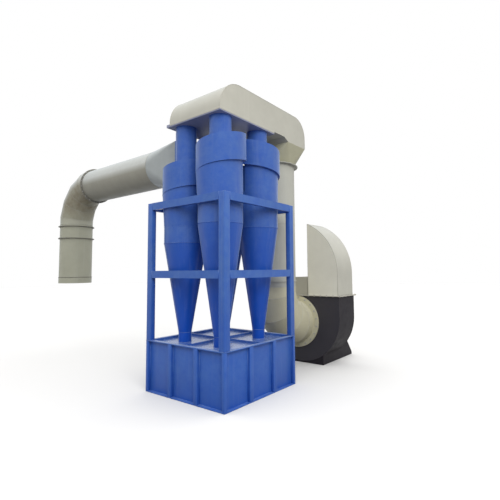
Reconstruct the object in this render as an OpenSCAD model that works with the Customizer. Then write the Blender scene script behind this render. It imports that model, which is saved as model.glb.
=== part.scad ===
// Four-cyclone dust collector with a dust box, an overhead clean-air hood,
// a suction fan with a discharge hood, and a raised dusty-air inlet duct.
// Millimetres, +Z up. The origin is the centre of the dust box's underside.
// +X faces away from the inlet duct and +Y points to the fan.

/* [Dust box and frame] */
// Side of the square box and frame, over the uprights
plan_w = 1500; // [1300:10:1800]
// Height of the box to the top of its rim
box_h = 700; // [500:10:900]
// Plate of the box walls, floor and lid
box_sheet = 6; // [4:1:10]
// Depth that the wall panels stand back behind the uprights
panel_set = 40; // [25:1:60]
// Width of the corner uprights
corner_w = 46; // [44:1:80]
// Width of the wall ribs
rib_w = 40; // [25:1:60]
// Height of the rim bar
rim_h = 50; // [30:1:80]
// Depth of the rim bar
rim_d = 60; // [50:1:80]
// Depth that the lid sits below the rim's top
lid_drop = 32; // [15:1:45]
// Width of the square posts
post_w = 100; // [80:5:120]
// Wall of the posts and rails
steel_t = 6; // [4:1:8]
// Height of the frame's top over the floor
frame_h = 2620; // [2300:10:3000]
// Height of the rails
rail_h = 100; // [80:5:120]
// Flange width of the rails
rail_d = 48; // [40:1:50]
// Height of the mid rail's underside
mid_z = 1560; // [1200:10:1900]

/* [Cyclones] */
// Outer diameter of the barrels
cyc_d = 600; // [500:10:620]
// Sheet of the cyclones
cyc_t = 5; // [3:1:8]
// Distance of the cyclone axes from the middle, along X
cyc_x = 345; // [330:1:390]
// Distance of the cyclone axes from the middle, along Y
cyc_y = 398; // [395:1:400]
// Depth below the frame's top where the barrels of the taller pair turn into cones
cone_drop = 350; // [220:10:470]
// Step down from the taller pair to the pair by the inlet
pair_drop = 230; // [150:10:300]
// Height of the scroll's roof on the taller pair over the frame's top
roof_rise = 932; // [900:1:950]
// Height of the tangential inlet
inlet_a = 366; // [300:2:372]
// Fall of the helical roof in one turn
helix_fall = 380; // [374:1:400]
// Step of the scroll outside the barrel at the inlet
scroll_step = 46; // [20:1:46]
// Step that stays as a lap once the scroll has run in
lap_step = 3; // [2:1:6]
// Angle over which the scroll runs in to the barrel
run_in = 178; // [120:2:270]
// Diameter of the dust spigots
spigot_d = 180; // [140:2:220]
// Height of the cone's lower end
spigot_z = 800; // [770:5:900]
// Diameter of the clean-air pipes
pipe_d = 300; // [240:5:340]

/* [Clean-air hood] */
// Height of the tube sheet's underside over the frame's top
sheet_rise = 1110; // [1080:5:1180]
// Depth of the tube sheet's edge
sheet_edge = 40; // [25:1:60]
// Half width of the tube sheet along X
sheet_x = 535; // [520:1:600]
// Front edge of the tube sheet
sheet_front = -605; // [-700:1:-560]
// Back edge of the tube sheet
sheet_back = 585; // [560:1:700]
// Hood wall on the inlet side
hood_left = -465; // [-530:1:-400]
// Height of the hood over the tube sheet
hood_h = 420; // [400:5:520]
// Height of the straight lip under the hood's rounded front
hood_lip = 15; // [10:1:60]
// Back wall of the hood
hood_back = 1470; // [1400:5:1600]
// Radius of the hood's back
hood_r_back = 300; // [200:5:400]
// Sheet of the hood and ducts
duct_t = 5; // [3:1:8]
// Front of the suction outlet under the hood
suck_y = 964; // [930:2:1000]
// Depth of the suction outlet's neck under the hood's floor
suck_drop = 55; // [30:1:80]
// Length of the slope from the hood's floor down to the neck
neck_run = 100; // [60:5:150]

/* [Suction duct and fan] */
// X of the suction duct and of the fan's axis
fan_x = 16; // [-20:1:40]
// Y of the suction duct
suck_duct_y = 1237; // [1200:1:1300]
// Diameter of the suction duct
suck_d = 750; // [600:10:780]
// Depth of the round duct's upper end below the hood's floor
suck_neck = 330; // [250:5:450]
// Bend radius of the suction elbow
suck_bend = 650; // [560:5:660]
// Height of the fan's axis
fan_z = 728; // [720:1:800]
// Inlet-side face of the fan
fan_y = 1941; // [1935:1:2100]
// Width of the fan casing
fan_w = 579; // [450:1:700]
// Reach of the scroll on its outlet side
fan_reach = 866; // [840:2:880]
// Half side of the square that carries the scroll's centres
fan_e = 84; // [84:1:90]
// Plate of the fan casing
fan_t = 6; // [4:1:10]
// Height of the fan's outlet
outlet_z = 1190; // [1150:5:1300]
// Width of the outlet flange
flange_w = 38; // [25:1:60]
// Thickness of the outlet flange
flange_t = 12; // [8:1:16]
// Half width of the fan's base
base_x = 540; // [500:5:600]
// Length of the fan's base
base_l = 1140; // [1000:10:1300]
// Height of the fan's base
base_h = 275; // [200:5:320]
// Plate of the fan's base
base_t = 10; // [6:1:16]
// Length of the slope at the base's drive end
base_slope = 180; // [100:5:250]
// Height of the toe under that slope
base_toe = 45; // [30:1:80]

/* [Discharge hood] */
// Mouth of the discharge hood
mouth_x = 272; // [220:1:320]
// Height where the curved back starts
bow_z = 1600; // [1500:10:1700]
// Radius of the curved back
bow_r = 962; // [900:2:1000]
// X of the curved back's centre
bow_x = -100; // [-140:2:-60]
// Height of the cover beside the hood, over the flange
cover_h = 324; // [200:2:400]

/* [Inlet duct] */
// Diameter of the inlet duct
in_d = 630; // [560:5:640]
// Height of the inlet duct's axis over the frame's top
in_rise = 775; // [740:5:790]
// Face of the header, where the transition starts
head_x = -780; // [-850:5:-740]
// Half width of the header
head_w = 250; // [200:5:300]
// Depth of the header along the duct
head_l = 115; // [80:5:120]
// Height of the header's underside over the frame's top
head_low = 335; // [280:5:380]
// Height of the header's top over the frame's top
head_high = 1065; // [980:5:1075]
// Half width of the duct between the cyclone rows
spine_w = 51; // [40:1:51]
// Round end of the transition
trans_x = -1450; // [-1600:10:-1300]
// Vertical axis of the inlet drop
drop_x = -4300; // [-4600:10:-3200]
// Bend radius of the inlet elbow
in_bend = 750; // [600:10:900]
// Height of the drop's open end
drop_z = 1425; // [1000:5:1600]
// Height of the slip collar at the open end
collar_h = 122; // [80:2:200]
// Distance between the two flange rings on the drop
drop_ring_gap = 249; // [150:1:400]

/* [Hidden] */
$fn = 96;
pw = plan_w / 2;
cyc_r = cyc_d / 2;
pipe_r = pipe_d / 2;
spigot_r = spigot_d / 2;
panel_y = pw - panel_set;
lid_z = box_h - lid_drop;
lid_t = 8;
divider_t = 12;
cone_z = frame_h - cone_drop;
roof_z = frame_h + roof_rise;
scroll_skirt = 12;
scroll_foot = roof_z - inlet_a - helix_fall - scroll_skirt;
spigot_in = 30;
sheet_z = frame_h + sheet_rise;
sheet_t = 12;
sheet_lip = 10;
hood_right = sheet_x;
hood_z = sheet_z + sheet_edge;
hood_top = hood_z + hood_h;
hood_r_front = hood_h - hood_lip;
neck_z = hood_z - suck_drop;
suck_r = suck_d / 2;
suck_top = hood_z - suck_neck;
suck_low = fan_z + suck_bend;
in_r = in_d / 2;
fan_back = fan_y + fan_w;
fan_right = fan_x + fan_reach;
fan_r1 = fan_reach - fan_e;
fan_r2 = fan_r1 - 2 * fan_e;
fan_r3 = fan_r2 - 2 * fan_e;
fan_left = fan_x - fan_e;
flange_z = outlet_z + flange_t;
cover_set = 14;
in_z = frame_h + in_rise;
head_z = frame_h + head_low;
head_top = frame_h + head_high;
head_back = head_x + head_l;
branch_l = 250;
branch_edge = 10;
branch_h = helix_fall * 290 / 360;
elbow_x = drop_x + in_bend;
elbow_low = in_z - in_bend;
ring_w = 62;
slim_ring_w = 16;
fan_ring_w = 88;
in_ring_w = 32;
ring_t = 10;
fan_ring_t = 24;
collar_t = 3;
eps = 0.3;

// Four copies, one on each side of the box
module on_sides() {
  for (a = [0:90:270]) rotate([0, 0, a]) children();
}

// Round tube standing on z = 0
module tube(r, t, h) {
  difference() {
    cylinder(r = r, h = h);
    translate([0, 0, -1]) cylinder(r = r - t, h = h + 2);
  }
}

// Ring of a mitred elbow at the angle a round the bend, where the gores meet on a plane
function mitre_ring(a, r, bend, half, m) =
  let (k = a == 0 || a == 90 ? 1 : cos(half))
  [for (j = [0:m - 1]) let (u = 360 * j / m, q = (bend + r * cos(u)) / k)
    [bend - q * cos(a), r * sin(u), q * sin(a)]];

// Mitred elbow from +Z at the origin to +X, built of straight gores, with a straight tail
module gored_elbow(r, t, bend, gores, tail = 0) {
  m = 64;
  half = 45 / (gores + 1);
  bends = concat([0], [for (k = [0:gores]) (2 * k + 1) * half], [90]);
  gore_rings = [for (a = bends) [for (q = [r, r - t], p = mitre_ring(a, q, bend, half, m)) p]];
  tail_ring = [for (q = [r, r - t], p = mitre_ring(90, q, bend, half, m)) p + [tail, 0, 0]];
  stations = tail > 0 ? concat(gore_rings, [tail_ring]) : gore_rings;
  n = len(stations);
  pts = [for (g = stations, p = g) p];
  skin = [for (s = [0:n - 2], j = [0:m - 1])
          let (a = 2 * m * s + j, b = 2 * m * s + (j + 1) % m, c = b + 2 * m, d = a + 2 * m)
          each [[a, b, c], [a, c, d], [a + m, c + m, b + m], [a + m, d + m, c + m]]];
  mouths = [for (j = [0:m - 1])
            let (a = j, b = (j + 1) % m, e = 2 * m * (n - 1))
            each [[a, a + m, b + m], [a, b + m, b],
                  [e + a, e + b + m, e + a + m], [e + a, e + b, e + b + m]]];
  polyhedron(points = pts, faces = concat(skin, mouths), convexity = 8);
}

module box_floor() {
  color("royalblue") translate([-panel_y + box_sheet, -panel_y + box_sheet, 0])
    cube([2 * (panel_y - box_sheet), 2 * (panel_y - box_sheet), lid_t]);
}

// Recessed sheet panels between the corner uprights
module box_walls() {
  color("royalblue") on_sides()
    translate([-pw + corner_w, -panel_y, 0]) cube([plan_w - 2 * corner_w, box_sheet, box_h - rim_h]);
}

module box_corners() {
  color("royalblue") on_sides()
    translate([-pw, -pw, 0]) cube([corner_w, corner_w, box_h - rim_h]);
}

// Folded ribs at the thirds of every wall
module box_ribs() {
  color("royalblue") on_sides() for (x = [-plan_w / 6, plan_w / 6])
    translate([x - rib_w / 2, -pw, 0]) difference() {
      cube([rib_w, panel_set, box_h - rim_h]);
      translate([steel_t, steel_t, -1]) cube([rib_w - 2 * steel_t, panel_set, box_h]);
    }
}

module box_rim() {
  color("royalblue") translate([0, 0, box_h - rim_h]) difference() {
    translate([-pw, -pw, 0]) cube([plan_w, plan_w, rim_h]);
    translate([-pw + rim_d, -pw + rim_d, -1]) cube([plan_w - 2 * rim_d, plan_w - 2 * rim_d, rim_h + 2]);
  }
}

module box_lid() {
  s = pw - rim_d;
  color("royalblue") difference() {
    translate([-s, -s, lid_z - lid_t]) cube([2 * s, 2 * s, lid_t]);
    for (x = [-cyc_x, cyc_x], y = [-cyc_y, cyc_y])
      translate([x, y, lid_z - 2 * lid_t]) cylinder(r = spigot_r + eps, h = 3 * lid_t);
  }
}

// Flat bars that part the lid into four bays
module lid_dividers() {
  s = pw - rim_d;
  color("royalblue") translate([0, 0, lid_z]) union() {
    translate([-s, -divider_t / 2, 0]) cube([2 * s, divider_t, lid_drop]);
    translate([-divider_t / 2, -s, 0]) cube([divider_t, 2 * s, lid_drop]);
  }
}

module posts() {
  color("royalblue") on_sides() translate([-pw, -pw, box_h]) difference() {
    cube([post_w, post_w, frame_h - box_h]);
    translate([steel_t, steel_t, -1])
      cube([post_w - 2 * steel_t, post_w - 2 * steel_t, frame_h - box_h - steel_t + 1]);
  }
}

// Channel between two posts, its web outwards
module rail(z) {
  l = plan_w - 2 * post_w;
  translate([-l / 2, -pw, z]) difference() {
    cube([l, rail_d, rail_h]);
    translate([-1, steel_t, steel_t]) cube([l + 2, rail_d, rail_h - 2 * steel_t]);
  }
}

module top_rails() {
  color("royalblue") on_sides() rail(frame_h - rail_h);
}

module mid_rails() {
  color("royalblue") on_sides() rail(mid_z);
}

// Barrel, cone and dust spigot of one cyclone as a turned sheet
module cyclone(drop) {
  zc = cone_z - drop;
  zt = scroll_foot - drop;
  z0 = lid_z - spigot_in;
  rotate_extrude() polygon([
    [spigot_r, z0], [spigot_r, spigot_z], [cyc_r, zc], [cyc_r, zt],
    [cyc_r - cyc_t, zt], [cyc_r - cyc_t, zc], [spigot_r - cyc_t, spigot_z], [spigot_r - cyc_t, z0]]);
}

// Section of the helical scroll at the turn angle f: barrel wall, ledge, scroll wall and roof
function scroll_step_at(f) = lap_step + (scroll_step - lap_step) * max(0, 1 - f / run_in);
function scroll_section(f, drop) =
  let (zr = roof_z - drop - helix_fall * f / 360,
       zl = zr - inlet_a,
       z0 = scroll_foot - drop,
       ro = cyc_r + scroll_step_at(f),
       t = cyc_t,
       rp = pipe_r + 1)
  [[cyc_r, z0], [cyc_r, zl], [ro, zl], [ro, zr], [rp, zr],
   [rp, zr - t], [ro - t, zr - t], [ro - t, zl + t], [cyc_r - t, zl + t], [cyc_r - t, z0]];

// Scroll of a back-row cyclone: it starts on the side of the middle and turns with the air
module scroll(drop) {
  n = 60;
  k = 10;
  last = 359;
  pts = [for (i = [0:n]) let (f = last * i / n) for (p = scroll_section(f, drop))
         [p[0] * cos(f - 90), p[0] * sin(f - 90), p[1]]];
  sides = [for (i = [0:n - 1], j = [0:k - 1])
           let (a = i * k + j, b = i * k + (j + 1) % k, c = b + k, d = a + k) each [[a, b, c], [a, c, d]]];
  start = [[9, 8, 1], [9, 1, 0], [8, 7, 2], [8, 2, 1], [7, 6, 3], [7, 3, 2], [6, 5, 4], [6, 4, 3]];
  stop = [for (q = start) [q[2] + n * k, q[1] + n * k, q[0] + n * k]];
  polyhedron(points = pts, faces = concat(sides, start, stop), convexity = 6);
}

module cyclone_front_left() {
  color("royalblue") translate([-cyc_x, -cyc_y, 0]) cyclone(pair_drop);
}

module cyclone_front_right() {
  color("royalblue") translate([cyc_x, -cyc_y, 0]) cyclone(0);
}

module cyclone_back_left() {
  color("royalblue") translate([-cyc_x, cyc_y, 0]) cyclone(pair_drop);
}

module cyclone_back_right() {
  color("royalblue") translate([cyc_x, cyc_y, 0]) cyclone(0);
}

module scroll_front_left() {
  color("royalblue") translate([-cyc_x, -cyc_y, 0]) mirror([0, 1, 0]) scroll(pair_drop);
}

module scroll_front_right() {
  color("royalblue") translate([cyc_x, -cyc_y, 0]) mirror([0, 1, 0]) scroll(0);
}

module scroll_back_left() {
  color("royalblue") translate([-cyc_x, cyc_y, 0]) scroll(pair_drop);
}

module scroll_back_right() {
  color("royalblue") translate([cyc_x, cyc_y, 0]) scroll(0);
}

// Vortex pipes from inside the barrels up through the tube sheet
module clean_air_pipes() {
  color("royalblue") for (x = [-1, 1], y = [-1, 1]) {
    low = roof_z - (x < 0 ? pair_drop : 0) - helix_fall - inlet_a;
    translate([x * cyc_x, y * cyc_y, low]) tube(pipe_r, cyc_t, sheet_z + sheet_t - low);
  }
}

// Plate with an upturned edge that carries the hood
module tube_sheet() {
  color("midnightblue") difference() {
    translate([-sheet_x, sheet_front, sheet_z]) cube([2 * sheet_x, sheet_back - sheet_front, sheet_edge]);
    translate([-sheet_x + sheet_lip, sheet_front + sheet_lip, sheet_z + sheet_t])
      cube([2 * (sheet_x - sheet_lip), sheet_back - sheet_front - 2 * sheet_lip, sheet_edge]);
    for (x = [-cyc_x, cyc_x], y = [-cyc_y, cyc_y])
      translate([x, y, sheet_z - 1]) cylinder(r = pipe_r + eps, h = sheet_t + 2);
  }
}

// Side outline of the hood, g inside the outer face
module hood_outline(g) {
  f = sheet_front;
  cf = f + hood_r_front;
  cb = hood_back - hood_r_back;
  zb = hood_top - hood_r_back;
  union() {
    translate([cf, hood_z]) square([cb - cf, hood_top - g - hood_z]);
    intersection() {
      translate([cf, hood_top - hood_r_front]) circle(r = hood_r_front - g);
      translate([f, hood_top - hood_r_front]) square([hood_r_front, hood_r_front]);
    }
    translate([f + g, hood_z]) square([hood_r_front - g, hood_top - hood_r_front - hood_z]);
    intersection() {
      translate([cb, zb]) circle(r = hood_r_back - g);
      translate([cb, zb]) square([hood_r_back, hood_r_back]);
    }
    translate([cb, hood_z]) square([hood_r_back - g, zb - hood_z]);
    polygon([[suck_y - neck_run + g, hood_z + 1], [suck_y - neck_run + g, hood_z], [suck_y + g, neck_z],
             [hood_back - g, neck_z], [hood_back - g, hood_z + 1]]);
  }
}

// Turns a Y-Z outline into a solid from x0 to x1
module along_x(x0, x1) {
  translate([x0, 0, 0]) rotate([90, 0, 90]) linear_extrude(height = x1 - x0) children();
}

// Turns an X-Z outline into a solid from y0 to y1
module along_y(y0, y1) {
  translate([0, y1, 0]) rotate([90, 0, 0]) linear_extrude(height = y1 - y0) children();
}

// Front, top and back of the hood, rolled from sheet and open below
module hood_wrap() {
  color("silver") difference() {
    along_x(hood_left + duct_t, hood_right - duct_t) hood_outline(0);
    along_x(hood_left, hood_right) hood_outline(duct_t);
    translate([hood_left, sheet_front + duct_t, neck_z - 1])
      cube([hood_right - hood_left, hood_back - sheet_front - 2 * duct_t, suck_drop + 2]);
  }
}

module hood_sides() {
  color("silver") {
    along_x(hood_left, hood_left + duct_t) hood_outline(0);
    along_x(hood_right - duct_t, hood_right) hood_outline(0);
  }
}

// Floor of the hood between the tube sheet and the suction outlet
module hood_floor() {
  color("silver") along_x(hood_left + duct_t, hood_right - duct_t)
    polygon([[sheet_back, hood_z], [suck_y - neck_run, hood_z], [suck_y, neck_z],
             [suck_y + duct_t, neck_z + duct_t], [suck_y - neck_run + duct_t / 2, hood_z + duct_t],
             [sheet_back, hood_z + duct_t]]);
}

// Body between the hood's rectangular outlet and the round duct, g inside the outer face
module hood_outlet_body(g, over) {
  hull() {
    translate([hood_left + g, suck_y + g, neck_z - 1])
      cube([hood_right - hood_left - 2 * g, hood_back - suck_y - 2 * g, 1 + over]);
    translate([fan_x, suck_duct_y, suck_top - over]) cylinder(r = suck_r - g, h = 1 + over);
  }
}

module hood_outlet() {
  color("silver") difference() {
    hood_outlet_body(0, 0);
    hood_outlet_body(duct_t, 0.5);
  }
}

module suction_duct() {
  color("silver") translate([fan_x, suck_duct_y, suck_low]) tube(suck_r, duct_t, suck_top - suck_low);
}

// Flange ring of the width w and thickness h round a duct of the radius r
module ring(r, w, h) {
  difference() {
    cylinder(r = r + w, h = h);
    translate([0, 0, -1]) cylinder(r = r + eps, h = h + 2);
  }
}

// Flange rings round the suction duct's upper and lower joints
module suction_rings() {
  color("silver") translate([fan_x, suck_duct_y, 0]) {
    translate([0, 0, suck_top - 2 * ring_t]) ring(suck_r, ring_w, ring_t);
    translate([0, 0, suck_low + fan_ring_w]) ring(suck_r, slim_ring_w, ring_t);
  }
}

// Elbow from the suction duct into the fan, with a straight end
module suction_elbow() {
  color("silver") translate([fan_x, suck_duct_y, suck_low]) rotate([0, 0, 90]) mirror([0, 0, 1])
    gored_elbow(suck_r, duct_t, suck_bend, 3, fan_y - suck_duct_y - suck_bend);
}

module fan_inlet_ring() {
  color("silver") translate([fan_x, fan_y - fan_ring_t, fan_z]) rotate([-90, 0, 0])
    ring(suck_r, fan_ring_w, fan_ring_t);
}

// Four-centre scroll of the fan with its outlet column, g inside the outer face
module fan_outline(g, over = 0) {
  union() {
    intersection() {
      translate([fan_x + fan_e, fan_z + fan_e]) circle(r = fan_r1 - g);
      translate([fan_x + fan_e, fan_z + fan_e - fan_r1]) square([fan_r1, fan_r1]);
    }
    intersection() {
      translate([fan_x + fan_e, fan_z - fan_e]) circle(r = fan_r2 - g);
      translate([fan_x + fan_e - fan_r2, fan_z - fan_e - fan_r2]) square([fan_r2, fan_r2]);
    }
    intersection() {
      translate([fan_left, fan_z - fan_e]) circle(r = fan_r3 - g);
      translate([fan_left - fan_r3, fan_z - fan_e]) square([fan_r3, fan_r3]);
    }
    translate([fan_left, fan_z - fan_e - 1]) square([2 * fan_e + 1, fan_r3 - g + 1]);
    translate([fan_left + g, fan_z + fan_e - 1])
      square([fan_reach + fan_e - 2 * g, outlet_z - fan_z - fan_e + 1 + over]);
  }
}

module fan_front_plate() {
  color("dimgray") difference() {
    along_y(fan_y, fan_y + fan_t) fan_outline(0);
    translate([fan_x, fan_y - fan_t / 2, fan_z]) rotate([-90, 0, 0])
      cylinder(r = suck_r - duct_t, h = 2 * fan_t);
  }
}

module fan_back_plate() {
  color("dimgray") along_y(fan_back - fan_t, fan_back) fan_outline(0);
}

// Rolled wrapper of the fan, open at its outlet
module fan_scroll() {
  color("dimgray") difference() {
    along_y(fan_y + fan_t, fan_back - fan_t) fan_outline(0);
    along_y(fan_y, fan_back) fan_outline(fan_t, 1);
  }
}

// Base under the casing, with a sloping end on the drive side
module fan_base_outline(g) {
  end = fan_y + base_l - g;
  polygon([[fan_y + g, 0], [end, 0], [end, base_toe - g], [end - base_slope, base_h - g],
           [fan_y + g, base_h - g]]);
}

module fan_base() {
  color("dimgray") difference() {
    along_x(fan_x - base_x, fan_x + base_x) fan_base_outline(0);
    along_x(fan_x - base_x + base_t, fan_x + base_x - base_t) translate([0, -eps]) fan_base_outline(base_t);
    along_y(fan_y - 1, fan_back) fan_outline(0);
  }
}

module fan_outlet_flange() {
  color("silver") difference() {
    translate([fan_left - flange_w, fan_y - flange_w, outlet_z])
      cube([fan_reach + fan_e + 2 * flange_w, fan_w + 2 * flange_w, flange_z - outlet_z]);
    translate([fan_left + fan_t, fan_y + fan_t, outlet_z - 1])
      cube([fan_reach + fan_e - 2 * fan_t, fan_w - 2 * fan_t, flange_z - outlet_z + 2]);
  }
}

// Low sheet cover over the part of the outlet beside the discharge hood
module outlet_cover() {
  color("darkgray") difference() {
    translate([fan_left, fan_y + cover_set, flange_z])
      cube([mouth_x - fan_left, fan_w - 2 * cover_set, cover_h]);
    translate([fan_left + duct_t, fan_y + cover_set + duct_t, flange_z - 1])
      cube([mouth_x - fan_left, fan_w - 2 * (cover_set + duct_t), cover_h - duct_t + 1]);
  }
}

// Side outline of the discharge hood, g inside the outer face and run over its open sides
module discharge_outline(g, over = 0) {
  left = mouth_x - over;
  low = flange_z - over;
  union() {
    translate([left, low]) square([bow_x + bow_r - g - left, bow_z - low]);
    intersection() {
      translate([bow_x, bow_z]) circle(r = bow_r - g);
      translate([left, bow_z - 1]) square([bow_r, bow_r]);
    }
  }
}

module discharge_back() {
  color("silver") difference() {
    along_y(fan_y + duct_t, fan_back - duct_t) discharge_outline(0);
    along_y(fan_y, fan_back) discharge_outline(duct_t, 1);
  }
}

module discharge_sides() {
  color("silver") {
    along_y(fan_y, fan_y + duct_t) discharge_outline(0);
    along_y(fan_back - duct_t, fan_back) discharge_outline(0);
  }
}

// Box at the end of the cyclone rows that the transition is joined to
module header_box() {
  color("royalblue") difference() {
    translate([head_x, -head_w, head_z]) cube([head_l, 2 * head_w, head_top - head_z]);
    translate([head_x - 1, -head_w + cyc_t, head_z + cyc_t])
      cube([head_l + 1 - cyc_t, 2 * (head_w - cyc_t), head_top - head_z - 2 * cyc_t]);
    translate([head_x, -spine_w + cyc_t, head_z + cyc_t])
      cube([head_l + 1, 2 * (spine_w - cyc_t), roof_z - head_z - 2 * cyc_t]);
  }
}

// Narrow duct between the two rows
module header_duct() {
  color("royalblue") difference() {
    translate([head_back, -spine_w, head_z]) cube([cyc_x - head_back, 2 * spine_w, roof_z - head_z]);
    translate([head_back - 1, -spine_w + cyc_t, head_z + cyc_t])
      cube([cyc_x - head_back + 1 - cyc_t, 2 * (spine_w - cyc_t), roof_z - head_z - 2 * cyc_t]);
    for (x = [-1, 1], y = [-1, 1])
      translate([x * cyc_x - branch_l + branch_edge, y > 0 ? 0 : -spine_w - 1, branch_z(x) + cyc_t])
        cube([branch_l - 2 * branch_edge, spine_w + 1, branch_h - 2 * cyc_t]);
  }
}

// Underside of a branch on the taller pair, side 1, or on the pair by the inlet, side -1
function branch_z(side) = roof_z - (side < 0 ? pair_drop : 0) - branch_h;

// Short branches that lead from the middle duct into the scrolls
module inlet_branches() {
  w = cyc_y - pipe_r - spine_w - branch_edge;
  color("royalblue") for (x = [-1, 1], y = [-1, 1])
    translate([x * cyc_x - branch_l, y > 0 ? spine_w : -spine_w - w, branch_z(x)]) difference() {
      cube([branch_l - 1, w, branch_h]);
      translate([cyc_t, y > 0 ? -1 : cyc_t, cyc_t]) cube([branch_l, w - cyc_t + 1, branch_h - 2 * cyc_t]);
    }
}

// Body between the rectangular header and the round duct, g inside the outer face
module inlet_transition_body(g, over) {
  hull() {
    translate([head_x - 1, -head_w + g, head_z + g])
      cube([1 + over, 2 * (head_w - g), head_top - head_z - 2 * g]);
    translate([trans_x - over, 0, in_z]) rotate([0, 90, 0]) cylinder(r = in_r - g, h = 1 + over);
  }
}

module inlet_transition() {
  color("silver") difference() {
    inlet_transition_body(0, 0);
    inlet_transition_body(duct_t, 0.5);
  }
}

module inlet_duct() {
  color("silver") translate([elbow_x, 0, in_z]) rotate([0, 90, 0]) tube(in_r, duct_t, trans_x - elbow_x);
}

module inlet_elbow() {
  color("silver") translate([drop_x, 0, elbow_low]) gored_elbow(in_r, duct_t, in_bend, 3);
}

// Vertical drop with a slip collar at its open end
module inlet_drop() {
  color("silver") translate([drop_x, 0, drop_z]) union() {
    tube(in_r, duct_t, elbow_low - drop_z);
    tube(in_r + collar_t, collar_t + 1, collar_h);
  }
}

// Flange rings on the drop and at the elbow's level end
module inlet_rings() {
  color("silver") {
    for (d = [0, drop_ring_gap])
      translate([drop_x, 0, elbow_low - in_ring_w - ring_t - d]) ring(in_r, in_ring_w, ring_t);
    translate([elbow_x + in_ring_w, 0, in_z]) rotate([0, 90, 0]) ring(in_r, in_ring_w, ring_t);
  }
}

box_floor();
box_walls();
box_corners();
box_ribs();
box_rim();
box_lid();
lid_dividers();
posts();
top_rails();
mid_rails();
cyclone_front_left();
cyclone_front_right();
cyclone_back_left();
cyclone_back_right();
scroll_front_left();
scroll_front_right();
scroll_back_left();
scroll_back_right();
clean_air_pipes();
tube_sheet();
hood_wrap();
hood_sides();
hood_floor();
hood_outlet();
suction_duct();
suction_rings();
suction_elbow();
fan_inlet_ring();
fan_front_plate();
fan_back_plate();
fan_scroll();
fan_base();
fan_outlet_flange();
outlet_cover();
discharge_back();
discharge_sides();
header_box();
header_duct();
inlet_branches();
inlet_transition();
inlet_duct();
inlet_elbow();
inlet_drop();
inlet_rings();
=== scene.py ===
import math

import bmesh
import bpy
from mathutils import Matrix, Vector


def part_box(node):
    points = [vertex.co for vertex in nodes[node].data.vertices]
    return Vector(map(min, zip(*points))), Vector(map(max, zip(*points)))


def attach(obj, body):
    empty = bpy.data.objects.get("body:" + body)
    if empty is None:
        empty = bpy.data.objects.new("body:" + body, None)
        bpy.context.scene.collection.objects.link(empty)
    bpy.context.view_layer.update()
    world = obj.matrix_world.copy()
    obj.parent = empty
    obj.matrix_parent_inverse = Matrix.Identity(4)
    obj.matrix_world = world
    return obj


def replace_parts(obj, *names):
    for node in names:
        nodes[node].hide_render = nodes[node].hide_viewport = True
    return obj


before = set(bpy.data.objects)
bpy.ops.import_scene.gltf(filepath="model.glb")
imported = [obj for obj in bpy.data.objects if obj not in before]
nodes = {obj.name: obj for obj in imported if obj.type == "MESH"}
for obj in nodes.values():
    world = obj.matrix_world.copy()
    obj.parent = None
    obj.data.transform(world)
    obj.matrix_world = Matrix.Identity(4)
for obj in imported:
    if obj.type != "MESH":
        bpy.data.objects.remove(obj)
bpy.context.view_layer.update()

# Camera: a standing person's view of the unit's near corner, with the frame's uprights
# nearly upright in the picture. The eye is 1.65 m over the floor and 5.7 m from the box.
eye = (3.9106, -4.0915, 1.6532)
yaw, pitch, roll = 2.2207, 0.0760, -0.0092
picture, focal = 500, 385.29
centre_x, centre_y = 265.96, 240.99
forward = Vector((math.cos(pitch) * math.cos(yaw), math.cos(pitch) * math.sin(yaw), math.sin(pitch)))
level_right = Vector((math.sin(yaw), -math.cos(yaw), 0.0))
level_up = level_right.cross(forward)
right = level_right * math.cos(roll) + level_up * math.sin(roll)
up = level_up * math.cos(roll) - level_right * math.sin(roll)
camera = bpy.data.objects.new("camera", bpy.data.cameras.new("camera"))
camera.matrix_world = Matrix.Translation(eye) @ Matrix((right, up, -forward)).transposed().to_4x4()
camera.data.lens = focal / picture * camera.data.sensor_width
camera.data.shift_x = (picture / 2 - centre_x) / picture
camera.data.shift_y = (centre_y - picture / 2) / picture
bpy.context.collection.objects.link(camera)
bpy.context.scene.camera = camera
bpy.context.scene.view_settings.view_transform = "Standard"

# Studio: a pale floor that takes the unit's shadow, a dome that is brighter overhead and one
# wide lamp over the camera's right shoulder. The background is white wherever it is seen.


def node_in(tree, kind, settings=None, **inputs):
    """Adds a shader node with its settings; inputs go by socket name or _number, as values or links"""
    made = tree.nodes.new(kind)
    for key, value in (settings or {}).items():
        setattr(made, key, value)
    for key, value in inputs.items():
        socket = made.inputs[int(key[1:])] if key[0] == "_" else made.inputs[key.replace("_", " ")]
        if isinstance(value, bpy.types.NodeSocket):
            tree.links.new(value, socket)
        else:
            socket.default_value = value
    return made


def seen_rays(tree):
    """1 for rays that show the surroundings: straight to the camera, in a gloss or through glass"""
    path = node_in(tree, "ShaderNodeLightPath")
    shown = path.outputs["Is Camera Ray"]
    for ray in ("Is Glossy Ray", "Is Transmission Ray"):
        either = node_in(tree, "ShaderNodeMath", {"operation": "MAXIMUM"}, _0=shown, _1=path.outputs[ray])
        shown = either.outputs[0]
    return shown


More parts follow.
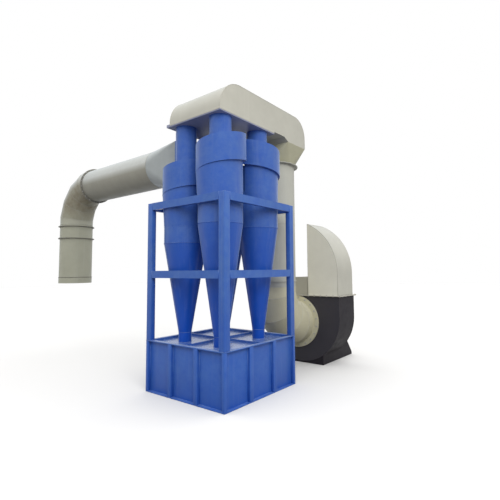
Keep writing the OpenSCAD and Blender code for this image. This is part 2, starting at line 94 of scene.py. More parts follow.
world = bpy.data.worlds.new("dome")
bpy.context.scene.world = world
world.use_nodes = True
tree = world.node_tree
tree.nodes.clear()
direction = node_in(tree, "ShaderNodeTexCoord").outputs["Generated"]
height = node_in(tree, "ShaderNodeSeparateXYZ", Vector=direction).outputs["Z"]
level = node_in(
    tree, "ShaderNodeMapRange", Value=height, From_Min=-0.05, From_Max=0.9, To_Min=0.50, To_Max=1.75)
dome = node_in(
    tree, "ShaderNodeBackground", Color=(1.0, 0.995, 0.985, 1), Strength=level.outputs["Result"])
white = node_in(tree, "ShaderNodeBackground", Color=(1, 1, 1, 1), Strength=1.0)
sky = node_in(tree, "ShaderNodeMixShader", _0=seen_rays(tree), _1=dome.outputs[0], _2=white.outputs[0])
node_in(tree, "ShaderNodeOutputWorld", Surface=sky.outputs[0])

floor_reach, floor_drop = 40, 0.002
bm = bmesh.new()
bmesh.ops.create_grid(bm, x_segments=1, y_segments=1, size=floor_reach)
bmesh.ops.translate(bm, vec=(0, 0, -floor_drop), verts=bm.verts)
floor = bpy.data.objects.new("floor", bpy.data.meshes.new("floor"))
bm.to_mesh(floor.data)
bm.free()
floor_paint = bpy.data.materials.new("pale_floor")
floor_paint.use_nodes = True
tree = floor_paint.node_tree
tree.nodes.clear()
pale = node_in(tree, "ShaderNodeBsdfDiffuse", Color=(0.72, 0.72, 0.72, 1))
dull = node_in(tree, "ShaderNodeBsdfDiffuse", Color=(0.20, 0.19, 0.18, 1))
ground = node_in(tree, "ShaderNodeMixShader", _0=seen_rays(tree), _1=dull.outputs[0], _2=pale.outputs[0])
node_in(tree, "ShaderNodeOutputMaterial", Surface=ground.outputs[0])
floor.data.materials.append(floor_paint)
bpy.context.collection.objects.link(floor)

lamp_aim = Vector((0, 0.3, 2.2))
lamp = bpy.data.objects.new("wide_lamp", bpy.data.lights.new("wide_lamp", "AREA"))
lamp.data.shape = "DISK"
lamp.data.size = 5.0
lamp.data.energy = 330
lamp.data.color = (1.0, 0.985, 0.96)
lamp.visible_glossy = False
lamp.location = (6.8, -4.2, 5.8)
lamp.rotation_euler = (lamp_aim - lamp.location).to_track_quat("-Z", "Y").to_euler()
bpy.context.collection.objects.link(lamp)

# Dust box: welded blue plate on a full base plate. Its panels are set back between corner bars
# and folded ribs, under a thin rim whose inner leg closes round the lid.


def rgba(colour, share=1.0):
    """Colour for a socket, at a share of its strength"""
    return (*[c * share for c in colour], 1)


def mixed(tree, factor, first, second):
    """Colour between two others"""
    made = node_in(tree, "ShaderNodeMix", {"data_type": "RGBA"}, Factor=factor, A=first, B=second)
    return made.outputs["Result"]


def spread(tree, value, low, high, to_low=0.0, to_high=1.0):
    """Value stretched from low..high to to_low..to_high and held there"""
    made = node_in(
        tree, "ShaderNodeMapRange", Value=value, From_Min=low, From_Max=high, To_Min=to_low,
        To_Max=to_high)
    return made.outputs["Result"]


def product(tree, first, second):
    """Product of two values"""
    return node_in(tree, "ShaderNodeMath", {"operation": "MULTIPLY"}, _0=first, _1=second).outputs[0]


def paint(name, colour, dust=(0.40, 0.46, 0.50), dusty=0.35, painted_shading_tone=(0.28, 0.46, 0.42), painted_shading_amount=0.0,
          painted_shading_z=(-2.0, -1.0), painted_shading_n=(-0.30, 0.0), lies_from=0.10, lies_full=0.90, bare=0.25,
          cloudy=0.14, streaky=0.05, bloom=0.0, shine=0.28, rough=0.40, wavy=0.0, lumps=0.0):
    """Paint on steel: cloudy tone, streaks that run down, a tone of painted light and shade that grows in
    over the heights and face directions given by its z and n ranges, from faces that look down to upright
    ones, and settled dust on those that look up; bloom for chalky old paint, wavy for thin sheet, lumps
    for a weld"""
    made = bpy.data.materials.new(name)
    made.use_nodes = True
    tree = made.node_tree
    shader = tree.nodes["Principled BSDF"]
    shader.inputs["Specular IOR Level"].default_value = shine
    shader.inputs["Sheen Weight"].default_value = bloom
    shader.inputs["Sheen Roughness"].default_value = 0.35
    shader.inputs["Sheen Tint"].default_value = (0.72, 0.88, 1.0, 1)
    place = node_in(tree, "ShaderNodeTexCoord").outputs["Object"]
    facing = node_in(tree, "ShaderNodeNewGeometry").outputs["Normal"]
    upward = node_in(tree, "ShaderNodeSeparateXYZ", Vector=facing).outputs["Z"]
    speckle = node_in(tree, "ShaderNodeTexNoise", Vector=place, Scale=9.0, Detail=6.0, Roughness=0.7)
    grains = speckle.outputs["Fac"]
    # Cloudy tone of the coat
    clouds = node_in(tree, "ShaderNodeTexNoise", Vector=place, Scale=2.3, Detail=4.0, Roughness=0.6)
    coat = mixed(tree, clouds.outputs["Fac"], rgba(colour, 1 - cloudy), rgba(colour, 1 + cloudy))
    # Painted light and shade: a tone laid in patches on high faces that don't look down; pale it is
    # painted light, dark it is painted shade
    painted_shading_patches = spread(tree, grains, 0.30, 0.70, 0.55, 1.25)
    height = node_in(tree, "ShaderNodeSeparateXYZ", Vector=place).outputs["Z"]
    painted_shading_level = product(tree, spread(tree, upward, *painted_shading_n, 0.0, painted_shading_amount), painted_shading_patches)
    painted_shading_level = product(tree, painted_shading_level, spread(tree, height, *painted_shading_z, 0.0, 1.0))
    coat = mixed(tree, painted_shading_level, coat, rgba(painted_shading_tone))
    # Streaks left by rain
    drawn = node_in(tree, "ShaderNodeMapping", Vector=place, Scale=(21.0, 21.0, 0.8))
    streaks = node_in(tree, "ShaderNodeTexNoise", Vector=drawn.outputs[0], Scale=1.0, Detail=3.0)
    streak_level = spread(tree, streaks.outputs["Fac"], 0.56, 0.80, 0.0, streaky)
    coat = mixed(tree, streak_level, coat, rgba(dust))
    # Dust settled on faces that look up
    patches = spread(tree, grains, 0.32, 0.66, bare, 1.0)
    settled = product(tree, spread(tree, upward, lies_from, lies_full, 0.0, dusty), patches)
    coat = mixed(tree, settled, coat, rgba(dust))
    tree.links.new(coat, shader.inputs["Base Color"])
    tree.links.new(spread(tree, grains, 0.3, 0.7, rough - 0.07, rough + 0.10), shader.inputs["Roughness"])
    # Skin of the paint, waves of thin sheet and lumps of a weld
    skin = node_in(tree, "ShaderNodeTexNoise", Vector=place, Scale=240.0, Detail=2.0)
    relief = node_in(tree, "ShaderNodeBump", Height=skin.outputs["Fac"], Strength=0.12, Distance=0.0015)
    if wavy > 0:
        wave = node_in(tree, "ShaderNodeTexNoise", Vector=place, Scale=3.1, Detail=1.0)
        relief = node_in(
            tree, "ShaderNodeBump", Height=wave.outputs["Fac"], Normal=relief.outputs[0],
            Strength=wavy, Distance=0.03)
    if lumps > 0:
        lump = node_in(tree, "ShaderNodeTexVoronoi", Vector=place, Scale=95.0)
        relief = node_in(
            tree, "ShaderNodeBump", Height=lump.outputs["Distance"], Normal=relief.outputs[0],
            Strength=lumps, Distance=0.004)
    tree.links.new(relief.outputs[0], shader.inputs["Normal"])
    return made


def dress(material, *names):
    """Paints CAD nodes"""
    for name in names:
        mesh = nodes[name].data
        mesh.materials.clear()
        mesh.materials.append(material)


def edges_of(verts):
    """Edges at these vertices, each once and always in the same order"""
    return list(dict.fromkeys(edge for vert in verts for edge in vert.link_edges))


def block(bm, low, high, round_over):
    """Plate or bar between two opposite corners, with its edges eased"""
    low, high = Vector(low), Vector(high)
    place = Matrix.Translation((low + high) / 2) @ Matrix.Diagonal((*(high - low), 1))
    verts = bmesh.ops.create_cube(bm, size=1, matrix=place)["verts"]
    bmesh.ops.bevel(bm, geom=edges_of(verts), offset=round_over, segments=3, profile=0.5, affect="EDGES")


def weld_line(bm, start, end, radius):
    """Straight weld bead from start to end"""
    start, end = Vector(start), Vector(end)
    run = end - start
    place = Matrix.Translation((start + end) / 2) @ run.to_track_quat("Z", "Y").to_matrix().to_4x4()
    bmesh.ops.create_cone(
        bm, cap_ends=True, segments=bead_sides, radius1=radius, radius2=radius, depth=run.length,
        matrix=place)


def on_four_sides(bm):
    """Repeats what stands on the side that looks along -Y on the other three sides"""
    first = list(bm.verts) + list(bm.edges) + list(bm.faces)
    for quarter in (1, 2, 3):
        copy = bmesh.ops.duplicate(bm, geom=first)["geom"]
        verts = [item for item in copy if isinstance(item, bmesh.types.BMVert)]
        turn = Matrix.Rotation(quarter * math.pi / 2, 3, "Z")
        bmesh.ops.rotate(bm, cent=(0, 0, 0), matrix=turn, verts=verts)


def add_piece(name, bm, material, crease=None):
    """Closes the ends of beads and makes the mesh a piece of the unit; without a crease angle it is
    smooth all over"""
    bmesh.ops.holes_fill(bm, edges=bm.edges, sides=bead_sides)
    bmesh.ops.recalc_face_normals(bm, faces=bm.faces)
    mesh = bpy.data.meshes.new(name)
    bm.to_mesh(mesh)
    bm.free()
    mesh.shade_smooth()
    if crease is not None:
        mesh.set_sharp_from_angle(angle=math.radians(crease))
    mesh.materials.append(material)
    piece = bpy.data.objects.new(name, mesh)
    bpy.context.collection.objects.link(piece)
    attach(piece, "root")
    return piece


bead_sides = 8
blue = (0.005, 0.065, 0.40)
# The pale tone on faces that don't look down is painted light; faces that look down keep the deeper blue
# as painted shade.
box_paint = paint("box_paint", blue, dusty=0.05, painted_shading_amount=0.11, wavy=0.04)
blue_paint = paint("blue_paint", blue, dusty=0.45, painted_shading_amount=0.15, bloom=0.15)
blue_weld = paint("blue_weld", blue, painted_shading_amount=0.13, lumps=0.7)
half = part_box("box_rim")[1].x
box_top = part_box("box_rim")[1].z
panel_set, sheet, corner_w = 0.040, 0.006, 0.046
plate_t, rim_t, rim_w, leg_t = 0.012, 0.014, 0.060, 0.008
rib_w, rib_x = 0.070, 0.250
panel = half - panel_set
rim_low = box_top - rim_t
leg_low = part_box("box_lid")[0].z
sheet_ease, plate_ease, bar_ease, fold_ease = 0.001, 0.002, 0.004, 0.006
weld_r, mitre_r, inset = 0.004, 0.002, 0.001
plate_crease = 20

bm = bmesh.new()
block(bm, (-half, -half, 0), (half, half, plate_t), plate_ease)
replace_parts(add_piece("base_plate", bm, box_paint, plate_crease), "box_floor")

bm = bmesh.new()
block(bm, (-half + corner_w, -panel, plate_t), (half - corner_w, -panel + sheet, rim_low), sheet_ease)
on_four_sides(bm)
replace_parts(add_piece("wall_panels", bm, box_paint, plate_crease), "box_walls")

bm = bmesh.new()
block(bm, (-half, -half, plate_t), (-half + corner_w, -half + corner_w, rim_low), bar_ease)
on_four_sides(bm)
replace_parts(add_piece("corner_bars", bm, box_paint, plate_crease), "box_corners")

bm = bmesh.new()
for x in (-rib_x, rib_x):
    block(bm, (x - rib_w / 2, -half, plate_t), (x + rib_w / 2, -panel, rim_low), fold_ease)
on_four_sides(bm)
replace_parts(add_piece("folded_ribs", bm, box_paint, plate_crease), "box_ribs")

bm = bmesh.new()
block(bm, (-half, -half, rim_low), (half - rim_w, -half + rim_w, box_top), plate_ease)
leg = -half + rim_w
block(bm, (leg - leg_t, leg - leg_t, leg_low), (-leg, leg, rim_low), sheet_ease)
on_four_sides(bm)
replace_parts(add_piece("rim_angle", bm, blue_paint, plate_crease), "box_rim")

bm = bmesh.new()
for x in (-half + corner_w, half - corner_w):
    weld_line(bm, (x, -panel, plate_t), (x, -panel, rim_low), weld_r)
for x in (-rib_x, rib_x):
    for edge in (x - rib_w / 2, x + rib_w / 2):
        weld_line(bm, (edge, -panel, plate_t), (edge, -panel, rim_low), weld_r)
for z in (plate_t, rim_low):
    weld_line(bm, (-half + corner_w, -panel, z), (half - corner_w, -panel, z), weld_r)
weld_line(
    bm, (half - inset, -half + inset, box_top), (half - rim_w, -half + rim_w, box_top), mitre_r)
on_four_sides(bm)
add_piece("box_welds", bm, blue_weld)

# Lid: flat plate set down inside the rim and parted by two bars, glossy with water and pale with
# dust. The four dust spigots are welded into it.


def weld_ring(bm, centre, axis, ring_radius, radius, angle=2 * math.pi, steps=96, start=(1, 0, 0),
              fall=0.0):
    """Weld bead round an axis through centre; with a fall it winds down the axis"""
    axis, start = Vector(axis), Vector(start)
    place = Matrix((start, axis, start.cross(axis))).transposed().to_4x4()
    place.translation = Vector(centre) + start * ring_radius
    section = bmesh.ops.create_circle(bm, segments=bead_sides, radius=radius, matrix=place)["verts"]
    closed = angle >= 2 * math.pi and fall == 0.0
    bmesh.ops.spin(
        bm, geom=section + edges_of(section), cent=centre, axis=axis, dvec=axis * (-fall / steps),
        angle=angle, steps=steps, use_merge=closed)


# On the lid the pale tone is painted light from overhead.
lid_paint = paint("wet_lid", blue, dusty=0.35, painted_shading_amount=0.13, shine=0.5, rough=0.22, wavy=0.06)
dress(lid_paint, "box_lid", "lid_dividers")
lid_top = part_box("box_lid")[1].z
cyclone_x, cyclone_y = 0.345, 0.398
spigot_r, spigot_steps = 0.090, 48
bead_out = 0.0015
axes = [(x, y) for x in (-cyclone_x, cyclone_x) for y in (-cyclone_y, cyclone_y)]
bm = bmesh.new()
for x, y in axes:
    weld_ring(bm, (x, y, lid_top), (0, 0, 1), spigot_r + bead_out, weld_r, steps=spigot_steps)
add_piece("spigot_welds", bm, blue_weld)

# Frame: each post is two channels welded to an angle on the rim's corner, and channel rails
# tie the posts at mid height and at the top.
dress(blue_paint, "top_rails", "mid_rails")
post_low, post_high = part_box("posts")
post_w, post_d, rail_d = 0.100, 0.060, 0.048
channel_lap, rail_weld_r = 0.006, 0.003
inner = half - post_w
bm = bmesh.new()
block(bm, (-half, -half, post_low.z), (-inner, -half + post_d, post_high.z), fold_ease)
block(
    bm, (-half, -half + post_d - channel_lap, post_low.z), (-half + post_d, -inner, post_high.z),
    fold_ease)
on_four_sides(bm)
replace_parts(add_piece("channel_posts", bm, blue_paint, plate_crease), "posts")

bm = bmesh.new()
foot = post_low.z + inset
for x in (-inner, inner):
    weld_line(bm, (x, -half + 2 * inset, foot), (x, -half + post_d, foot), weld_r)
for rails in ("mid_rails", "top_rails"):
    low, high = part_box(rails)
    for x in (-inner, inner):
        weld_line(bm, (x, -half + inset, low.z), (x, -half + inset, high.z), rail_weld_r)
        for z in (low.z, high.z - inset):
            weld_line(bm, (x, -half, z), (x, -half + rail_d, z), rail_weld_r)
on_four_sides(bm)
add_piece("frame_welds", bm, blue_weld)

# Cyclones: rolled barrels and cones of blue sheet, ground smooth but for the girth weld where
# they meet and the one at the dust spigot. The pair by the inlet hangs lower.
cyclones = ("front_left", "front_right", "back_left", "back_right")
# The pale tone is painted light on the barrels; the cones, lower and looking down, keep a deeper blue as
# painted shade.
cyclone_paint = paint(
    "cyclone_paint", blue, dusty=0.28, painted_shading_tone=(0.31, 0.45, 0.37), painted_shading_amount=0.14, painted_shading_z=(1.30, 2.25),
    bloom=0.42, rough=0.36)
for which in cyclones:
    dress(cyclone_paint, "cyclone_" + which)
pair_drop = 0.230
barrel_r, cone_top, spigot_top = 0.300, 2.270, 0.800
bm = bmesh.new()
for x, y in axes:
    drop = pair_drop if x < 0 else 0.0
    weld_ring(bm, (x, y, cone_top - drop), (0, 0, 1), barrel_r, weld_r)
    weld_ring(bm, (x, y, spigot_top), (0, 0, 1), spigot_r, weld_r, steps=spigot_steps)
add_piece("cyclone_welds", bm, blue_weld)

# Scrolls: helical inlets of blue sheet wrapped round the barrels, with a roof and a ledge that
# fall together. The wall runs in as it turns, and the barrel under it swells until the ledge fades.
roof_top, ledge_top, helix_fall, pipe_r = 3.552, 3.186, 0.380, 0.150
first_step, last_step = 0.053, 0.014
swell_from, swell_to, least_ledge = 90, 200, 0.003
wrap_foot, skin = 2.500, 0.001
sheet_t, turn, scroll_steps, scroll_crease = 0.004, math.radians(359), 120, 5
spin_start = 90.001
roof_weld_r, roof_weld_steps = 0.0035, 90


def add_scroll(which, x, y, drop):
    """Spins the scroll's section, then lets it fall and run in with the angle that it has turned"""
    wrap_r, scroll_r = barrel_r + skin, barrel_r + first_step
    outline = ((wrap_r, wrap_foot), (wrap_r, ledge_top), (scroll_r, ledge_top),
               (scroll_r, roof_top), (pipe_r + skin, roof_top))
    bm = bmesh.new()
    section = [bm.verts.new((0, -radius, z)) for radius, z in outline]
    edges = [bm.edges.new(pair) for pair in zip(section, section[1:])]
    bmesh.ops.spin(
        bm, geom=section + edges, cent=(0, 0, 0), axis=(0, 0, 1), angle=turn, steps=scroll_steps)
    for vert in bm.verts:
        # The spin starts on -Y, and spin_start is a hair over 90 so that its first ring counts as 0
        turned = (math.degrees(math.atan2(vert.co.y, vert.co.x)) + spin_start) % 360
        radius = math.hypot(vert.co.x, vert.co.y)
        step = first_step - (first_step - last_step) * turned / 360
        reach = radius
        if radius > wrap_r + skin:
            reach = barrel_r + step
        elif abs(vert.co.z - ledge_top) < skin:
            swell = min(max((turned - swell_from) / (swell_to - swell_from), 0), 1)
            reach = wrap_r + swell * (step - least_ledge)
        vert.co.x *= reach / radius
        vert.co.y *= reach / radius
        if vert.co.z > wrap_foot + skin:
            vert.co.z -= helix_fall * turned / 360
    if y < 0:
        bmesh.ops.scale(bm, vec=(1, -1, 1), verts=bm.verts)
    bmesh.ops.translate(bm, vec=(x, y, -drop), verts=bm.verts)
    bmesh.ops.recalc_face_normals(bm, faces=bm.faces)
    bmesh.ops.solidify(bm, geom=list(bm.faces), thickness=sheet_t)
    piece = add_piece("helix_" + which, bm, cyclone_paint, scroll_crease)
    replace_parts(piece, "scroll_" + which)


bm = bmesh.new()
for which in cyclones:
    x = cyclone_x if "right" in which else -cyclone_x
    y = cyclone_y if "back" in which else -cyclone_y
    drop = pair_drop if x < 0 else 0.0
    hand = 1 if y > 0 else -1
    add_scroll(which, x, y, drop)
    weld_ring(
        bm, (x, y, roof_top - drop), (0, 0, hand), pipe_r + bead_out, roof_weld_r, angle=turn,
        steps=roof_weld_steps, start=(0, -hand, 0), fall=hand * helix_fall * turn / (2 * math.pi))
add_piece("scroll_welds", bm, blue_weld)

# Clean-air pipes and the tube sheet that they are welded into. The sheet is a blue-grey plate
# that lies in the shade under the hood.
dress(cyclone_paint, "clean_air_pipes")
sheet_paint = paint("tube_sheet_paint", (0.26, 0.28, 0.40))
dress(sheet_paint, "tube_sheet")
plate_low, plate_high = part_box("tube_sheet")
pipe_steps = 64
bm = bmesh.new()
for x, y in axes:
    weld_ring(bm, (x, y, plate_low.z), (0, 0, 1), pipe_r + bead_out, weld_r, steps=pipe_steps)
add_piece("pipe_welds", bm, blue_weld)

# Clean-air hood: a rolled front, top and back between two flat side plates of grey sheet,
# joined by corner seams, with a skirt that reaches down over the tube sheet's edge.


def start_bead(bm, point, along, radius):
    """Opens a bead that is then drawn on with run_bead and bend_bead; returns its end ring"""
    place = Vector(along).to_track_quat("Z", "Y").to_matrix().to_4x4()
    place.translation = point
    verts = bmesh.ops.create_circle(bm, segments=bead_sides, radius=radius, matrix=place)["verts"]
    return verts + edges_of(verts)


def run_bead(bm, end, vec):
    """Draws a bead straight on"""
    edges = [item for item in end if isinstance(item, bmesh.types.BMEdge)]
    drawn = bmesh.ops.extrude_edge_only(bm, edges=edges)["geom"]
    verts = [item for item in drawn if isinstance(item, bmesh.types.BMVert)]
    edges = [item for item in drawn if isinstance(item, bmesh.types.BMEdge)]
    bmesh.ops.translate(bm, vec=vec, verts=verts)
    return verts + [edge for edge in edges if all(vert in verts for vert in edge.verts)]


def bend_bead(bm, end, centre, axis, angle, steps=24):
    """Draws a bead on round a centre"""
    return bmesh.ops.spin(bm, geom=end, cent=centre, axis=axis, angle=angle, steps=steps)["geom_last"]


grey = (0.455, 0.45, 0.395)
pale_dust = (0.62, 0.61, 0.57)
grey_paint = paint("grey_paint", grey, dust=pale_dust, streaky=0.12, bloom=0.3, rough=0.5, wavy=0.05)
grey_seam = paint("grey_seam", grey, dust=pale_dust, rough=0.5, lumps=0.35)
dress(grey_paint, "hood_wrap", "hood_sides", "hood_floor")
outlet_paint = paint("outlet_paint", (0.46, 0.455, 0.335), dust=pale_dust, rough=0.5, wavy=0.05)
dress(outlet_paint, "hood_outlet")
hood_low, hood_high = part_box("hood_sides")
hood_base = plate_high.z
front_r, back_r, front_lip = 0.405, 0.300, 0.015
skirt_t, skirt_up, skirt_lap, skirt_set = 0.003, 0.014, 0.002, 0.012
skirt_low, skirt_top = plate_low.z + skirt_up, hood_base + skirt_lap
seam_r, top_seams = 0.003, (0.10, 0.72)
bm = bmesh.new()
block(
    bm, (hood_low.x, plate_low.y - skirt_t, skirt_low), (plate_high.x, plate_low.y, skirt_top),
    sheet_ease)
block(
    bm, (plate_high.x, plate_low.y, skirt_low), (plate_high.x + skirt_t, plate_high.y, skirt_top),
    sheet_ease)
block(
    bm, (hood_low.x - skirt_t, plate_low.y + skirt_set, skirt_low),
    (hood_low.x, plate_high.y - skirt_set, skirt_top), sheet_ease)
add_piece("hood_skirt", bm, grey_paint, plate_crease)

bm = bmesh.new()
for x in (hood_low.x + inset, hood_high.x - inset):
    end = start_bead(bm, (x, hood_low.y + inset, hood_base), (0, 0, 1), weld_r)
    end = run_bead(bm, end, (0, 0, front_lip))
    end = bend_bead(bm, end, (x, hood_low.y + front_r, hood_base + front_lip), (1, 0, 0), -math.pi / 2)
    end = run_bead(bm, end, (0, hood_high.y - hood_low.y - front_r - back_r, 0))
    end = bend_bead(bm, end, (x, hood_high.y - back_r, hood_high.z - back_r), (1, 0, 0), -math.pi / 2)
    run_bead(bm, end, (0, 0, hood_low.z - hood_high.z + back_r))
for y in top_seams:
    weld_line(
        bm, (hood_low.x + 2 * inset, y, hood_high.z), (hood_high.x - 2 * inset, y, hood_high.z), seam_r)
add_piece("hood_seams", bm, grey_seam)

# Suction duct: a rolled pipe that hangs under the hood's outlet on a bolted ring and turns
# into the fan through a mitred elbow.


def bolt(bm, place, size):
    """One hexagon head on its washer, with a short thread end"""
    washer, head, thread = (1.15, 0.0, 0.16, 20), (0.95, 0.16, 0.75, 6), (0.5, 0.75, 1.05, 12)
    for radius, low, high, sides in (washer, head, thread):
        at = place @ Matrix.Translation((0, 0, (low + high) / 2 * size))
        bmesh.ops.create_cone(
            bm, cap_ends=True, segments=sides, radius1=radius * size, radius2=radius * size,
            depth=(high - low) * size, matrix=at)


def bolt_ring(bm, centre, axis, circle, count, size, start=(1, 0, 0)):
    """Bolts on a circle, their heads along the axis"""
    axis, start = Vector(axis), Vector(start)
    for k in range(count):
        out = Matrix.Rotation(2 * math.pi * (k + 0.5) / count, 3, axis) @ start
        place = Matrix((out, axis.cross(out), axis)).transposed().to_4x4()
        place.translation = Vector(centre) + out * circle
        bolt(bm, place, size)


def gore_welds(bm, radius, bend, gores, place):
    """Welds along the mitres of an elbow that turns from +Z at the origin to +X"""
    step = math.pi / 4 / (gores + 1)
    for k in range(gores + 1):
        ring = bmesh.new()
        weld_ring(ring, (0, 0, 0), (0, 0, 1), radius, gore_weld_r)
        bmesh.ops.scale(ring, vec=(1 / math.cos(step), 1, 1), verts=ring.verts)
        swing = Matrix.Rotation((2 * k + 1) * step, 4, "Y")
        at = Matrix.Translation((bend, 0, 0)) @ swing @ Matrix.Translation((-bend / math.cos(step), 0, 0))
        bmesh.ops.transform(ring, matrix=place @ at, verts=ring.verts)
        part = bpy.data.meshes.new("gore")
        ring.to_mesh(part)
        ring.free()
        bm.from_mesh(part)
        bpy.data.meshes.remove(part)


duct_grey = (0.44, 0.445, 0.40)
duct_paint = paint("duct_paint", duct_grey, dust=pale_dust, streaky=0.15, rough=0.5, wavy=0.05)
elbow_paint = paint(
    "elbow_paint", (0.53, 0.51, 0.375), dust=pale_dust, streaky=0.15, rough=0.5, wavy=0.05)
zinc = paint("zinc", (0.38, 0.38, 0.37), dust=pale_dust, dusty=0.25, rough=0.38)
dress(duct_paint, "suction_duct", "suction_rings")
dress(elbow_paint, "suction_elbow")
fan_x, duct_y, duct_r, suction_bend = 0.016, 1.237, 0.375, 0.650
duct_low, duct_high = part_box("suction_duct")
ring_top, ring_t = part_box("suction_rings")[1].z, 0.010
joint_z, seam_angles = 2.42, (-110, 130)
gores, gore_weld_r = 3, 0.0032
bolt_out, bolt_count, bolt_size, bolt_crease = 0.038, 24, 0.012, 30
bm = bmesh.new()
for z in (duct_low.z, joint_z, duct_high.z):
    weld_ring(bm, (fan_x, duct_y, z), (0, 0, 1), duct_r, seam_r)
for degrees, low, high in zip(seam_angles, (joint_z, duct_low.z), (duct_high.z, joint_z)):
    angle = math.radians(degrees)
    edge = Vector((fan_x + duct_r * math.cos(angle), duct_y + duct_r * math.sin(angle), 0))
    weld_line(bm, edge + Vector((0, 0, low)), edge + Vector((0, 0, high)), seam_r)
elbow_start = Matrix.Translation((fan_x, duct_y, duct_low.z)) @ Matrix.Rotation(math.pi / 2, 4, "Z")
gore_welds(bm, duct_r, suction_bend, gores, elbow_start @ Matrix.Scale(-1, 4, (0, 0, 1)))
add_piece("suction_seams", bm, grey_seam)
bm = bmesh.new()
bolt_ring(bm, (fan_x, duct_y, ring_top), (0, 0, 1), duct_r + bolt_out, bolt_count, bolt_size)
bolt_ring(bm, (fan_x, duct_y, ring_top - ring_t), (0, 0, -1), duct_r + bolt_out, bolt_count, bolt_size)
add_piece("suction_bolts", bm, zinc, bolt_crease)

# Fan: a charcoal casing of two scroll plates and a rolled wrapper, welded all round, on a
# folded base. The inlet ring and the outlet flange are bolted.
charcoal = (0.041, 0.039, 0.047)
fan_dust = (0.085, 0.080, 0.080)
charcoal_paint = paint("charcoal_paint", charcoal, dust=fan_dust, rough=0.48)
wrapper_paint = paint(
    "wrapper_paint", (0.020, 0.018, 0.023), dust=fan_dust, dusty=0.2, shine=0.12, rough=0.55)
charcoal_weld = paint("charcoal_weld", charcoal, dust=fan_dust, rough=0.48, lumps=0.6)
flange_paint = paint("flange_paint", (0.48, 0.465, 0.40), dust=pale_dust, dusty=0.2, rough=0.5)
dress(charcoal_paint, "fan_front_plate", "fan_back_plate")
dress(wrapper_paint, "fan_scroll", "fan_base")
dress(elbow_paint, "fan_inlet_ring")
dress(flange_paint, "fan_outlet_flange")
fan_z, fan_e, fan_reach = 0.728, 0.084, 0.866
fan_front, fan_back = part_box("fan_front_plate")[0].y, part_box("fan_back_plate")[1].y
outlet_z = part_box("fan_front_plate")[1].z
weld_sink = 0.0005
bm = bmesh.new()
for y in (fan_front + weld_sink, fan_back - weld_sink):
    end = start_bead(bm, (fan_x + fan_reach, y, outlet_z), (0, 0, -1), weld_r)
    end = run_bead(bm, end, (0, 0, fan_z + fan_e - outlet_z))
    for x, z in ((fan_e, fan_e), (fan_e, -fan_e), (-fan_e, -fan_e)):
        end = bend_bead(bm, end, (fan_x + x, y, fan_z + z), (0, 1, 0), math.pi / 2)
add_piece("fan_welds", bm, charcoal_weld)

ring_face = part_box("fan_inlet_ring")[0].y
flange_low, flange_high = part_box("fan_outlet_flange")
inlet_bolt_out, inlet_bolt_count, inlet_bolt_size, flange_bolt_size = 0.055, 20, 0.013, 0.011
edge_set, long_count, short_count = 0.018, 9, 6
first_x, last_x = flange_low.x + edge_set, flange_high.x - edge_set
first_y, last_y = flange_low.y + edge_set, flange_high.y - edge_set
step_x, step_y = (last_x - first_x) / (long_count - 1), (last_y - first_y) / (short_count - 1)
rows = [(first_x + k * step_x, y) for k in range(long_count) for y in (first_y, last_y)]
rows += [(x, first_y + k * step_y) for k in range(1, short_count - 1) for x in (first_x, last_x)]
bm = bmesh.new()
bolt_ring(
    bm, (fan_x, ring_face, fan_z), (0, -1, 0), duct_r + inlet_bolt_out, inlet_bolt_count, inlet_bolt_size)
upside_down = Matrix.Rotation(math.pi, 4, "X")
for x, y in rows:
    bolt(bm, Matrix.Translation((x, y, flange_low.z)) @ upside_down, flange_bolt_size)
    bolt(bm, Matrix.Translation((x, y, flange_high.z)), flange_bolt_size)
add_piece("fan_bolts", bm, zinc, bolt_crease)

# Discharge hood: a bowed back between two side plates of grey sheet on the outlet flange,
# open towards the box, with a low cover over the rest of the outlet.
# The cover's darker grey is painted shade.
shaded_cover_paint = paint("shaded_cover_paint", (0.36, 0.35, 0.295), dust=pale_dust, dusty=0.3, rough=0.5)
# The side plates are the same grey sheet as the back, painted lighter as painted light.
lit_side_paint = paint("lit_side_paint", (0.68, 0.67, 0.58), dust=pale_dust, streaky=0.12, rough=0.5, wavy=0.05)
dress(grey_paint, "discharge_back")
dress(lit_side_paint, "discharge_sides")
dress(shaded_cover_paint, "outlet_cover")
mouth_x, bow_x, bow_z, bow_r = 0.272, -0.100, 1.600, 0.962
bow_end = math.acos((mouth_x - bow_x) / bow_r)
bow_top = bow_z + bow_r * math.sin(bow_end)
hem_r = 0.005
bm = bmesh.new()
for y in (fan_front + inset, fan_back - inset):
    end = start_bead(bm, (bow_x + bow_r - inset, y, flange_high.z), (0, 0, 1), weld_r)
    end = run_bead(bm, end, (0, 0, bow_z - flange_high.z))
    bend_bead(bm, end, (bow_x, y, bow_z), (0, 1, 0), -bow_end)
    weld_line(bm, (mouth_x, y, flange_high.z), (mouth_x, y, bow_top), hem_r)
weld_line(bm, (mouth_x, fan_front, bow_top), (mouth_x, fan_back, bow_top), hem_r)
add_piece("discharge_seams", bm, grey_seam)

# Header: a box and a narrow duct of blue sheet between the cyclone rows, with branches that
# lead the dusty air into the scrolls.
dress(blue_paint, "header_box", "header_duct", "inlet_branches")

# Inlet duct: a square-to-round transition, a long level pipe, a mitred elbow and a drop with
# an open slip collar, all dull with dust. The rings are bolted; the pipe lengths are seamed.
# The level pipe's grey is darkened as painted shade of its underside. The pale dust on tops, reaching far
# down the sides of the pipe, transition and elbow, is dust and painted highlight from overhead.
top_dust_and_highlight = (0.60, 0.625, 0.62)
shaded_inlet_grey, drop_grey = (0.295, 0.29, 0.245), (0.375, 0.38, 0.305)
inlet_paint = paint(
    "inlet_paint", shaded_inlet_grey, dust=top_dust_and_highlight, dusty=0.75, lies_from=-0.15, lies_full=0.22, bare=0.8,
    cloudy=0.20, streaky=0.06, bloom=0.35, rough=0.5, wavy=0.05)
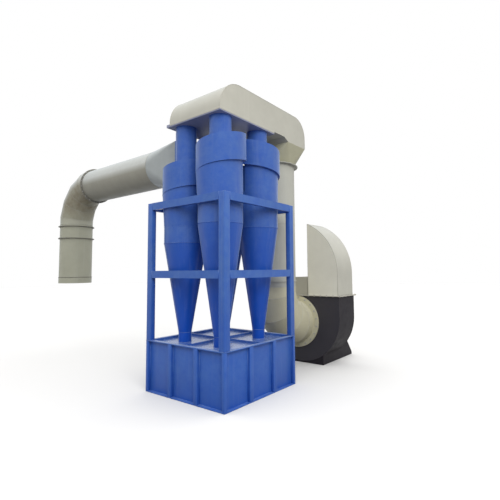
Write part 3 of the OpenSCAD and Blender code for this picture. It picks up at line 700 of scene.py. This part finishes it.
# The transition's grey is tinted blue as painted reflection of the sky.
throat_sky_tint_paint = paint(
    "throat_sky_tint_paint", (0.355, 0.385, 0.39), dust=top_dust_and_highlight, dusty=0.75, bare=0.8, cloudy=0.25, bloom=0.35,
    rough=0.5, wavy=0.05)
# The dark brown tone over the elbow's upper part is painted shade.
bend_paint = paint(
    "bend_paint", drop_grey, dust=top_dust_and_highlight, dusty=0.75, lies_from=-0.05, lies_full=0.35, bare=0.7,
    painted_shading_tone=(0.16, 0.115, 0.065), painted_shading_amount=0.55, painted_shading_z=(2.64, 3.00), painted_shading_n=(-1.0, -0.9),
    cloudy=0.20, streaky=0.10, bloom=0.3, rough=0.5, wavy=0.05)
drop_paint = paint(
    "drop_paint", drop_grey, dust=top_dust_and_highlight, cloudy=0.18, streaky=0.15, bloom=0.2, rough=0.5, wavy=0.05)
inlet_seam = paint("inlet_seam", shaded_inlet_grey, dust=top_dust_and_highlight, dusty=0.75, bare=0.8, rough=0.5, lumps=0.35)
# The rings are painted dark as painted shade at the flanges.
ring_shade_paint = paint("ring_shade_paint", (0.19, 0.185, 0.16), dust=top_dust_and_highlight, rough=0.5)
lap_shadow_paint = paint("lap_shadow_paint", (0.10, 0.095, 0.080), dust=top_dust_and_highlight, rough=0.6, lumps=0.3)
dress(throat_sky_tint_paint, "inlet_transition")
dress(inlet_paint, "inlet_duct")
dress(ring_shade_paint, "inlet_rings")
dress(bend_paint, "inlet_elbow")
dress(drop_paint, "inlet_drop")
in_r, in_z, in_bend = 0.315, 3.395, 0.750
run_low, run_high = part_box("inlet_duct")
drop_x, drop_top = -4.300, 2.645
collar_h, lap_out, lap_r = 0.122, 0.002, 0.006
collar_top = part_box("inlet_drop")[0].z + collar_h
ring_heights, ring_back, in_ring_t = (2.603, 2.354), 0.032, 0.010
in_bolt_out, in_bolt_count, in_bolt_size = 0.018, 20, 0.009
bolt_r = in_r + in_bolt_out
bm = bmesh.new()
for x in (run_high.x, run_low.x):
    weld_ring(bm, (x, 0, in_z), (1, 0, 0), in_r, seam_r, start=(0, 0, 1))
weld_ring(bm, (drop_x, 0, drop_top), (0, 0, 1), in_r, seam_r)
gore_welds(bm, in_r, in_bend, gores, Matrix.Translation((drop_x, 0, drop_top)))
add_piece("inlet_seams", bm, inlet_seam)
bm = bmesh.new()
for z in ring_heights:
    for face, way in ((z + in_ring_t, 1), (z, -1)):
        bolt_ring(bm, (drop_x, 0, face), (0, 0, way), bolt_r, in_bolt_count, in_bolt_size)
ring_x = run_low.x + ring_back
for face, way in ((ring_x + in_ring_t, 1), (ring_x, -1)):
    bolt_ring(bm, (face, 0, in_z), (way, 0, 0), bolt_r, in_bolt_count, in_bolt_size, start=(0, 0, 1))
add_piece("inlet_bolts", bm, zinc, bolt_crease)

# A dark bead round the drop at the collar's top is painted shadow of the lap.
bm = bmesh.new()
weld_ring(bm, (drop_x, 0, collar_top), (0, 0, 1), in_r + lap_out, lap_r)
add_piece("collar_lap_shadow", bm, lap_shadow_paint)
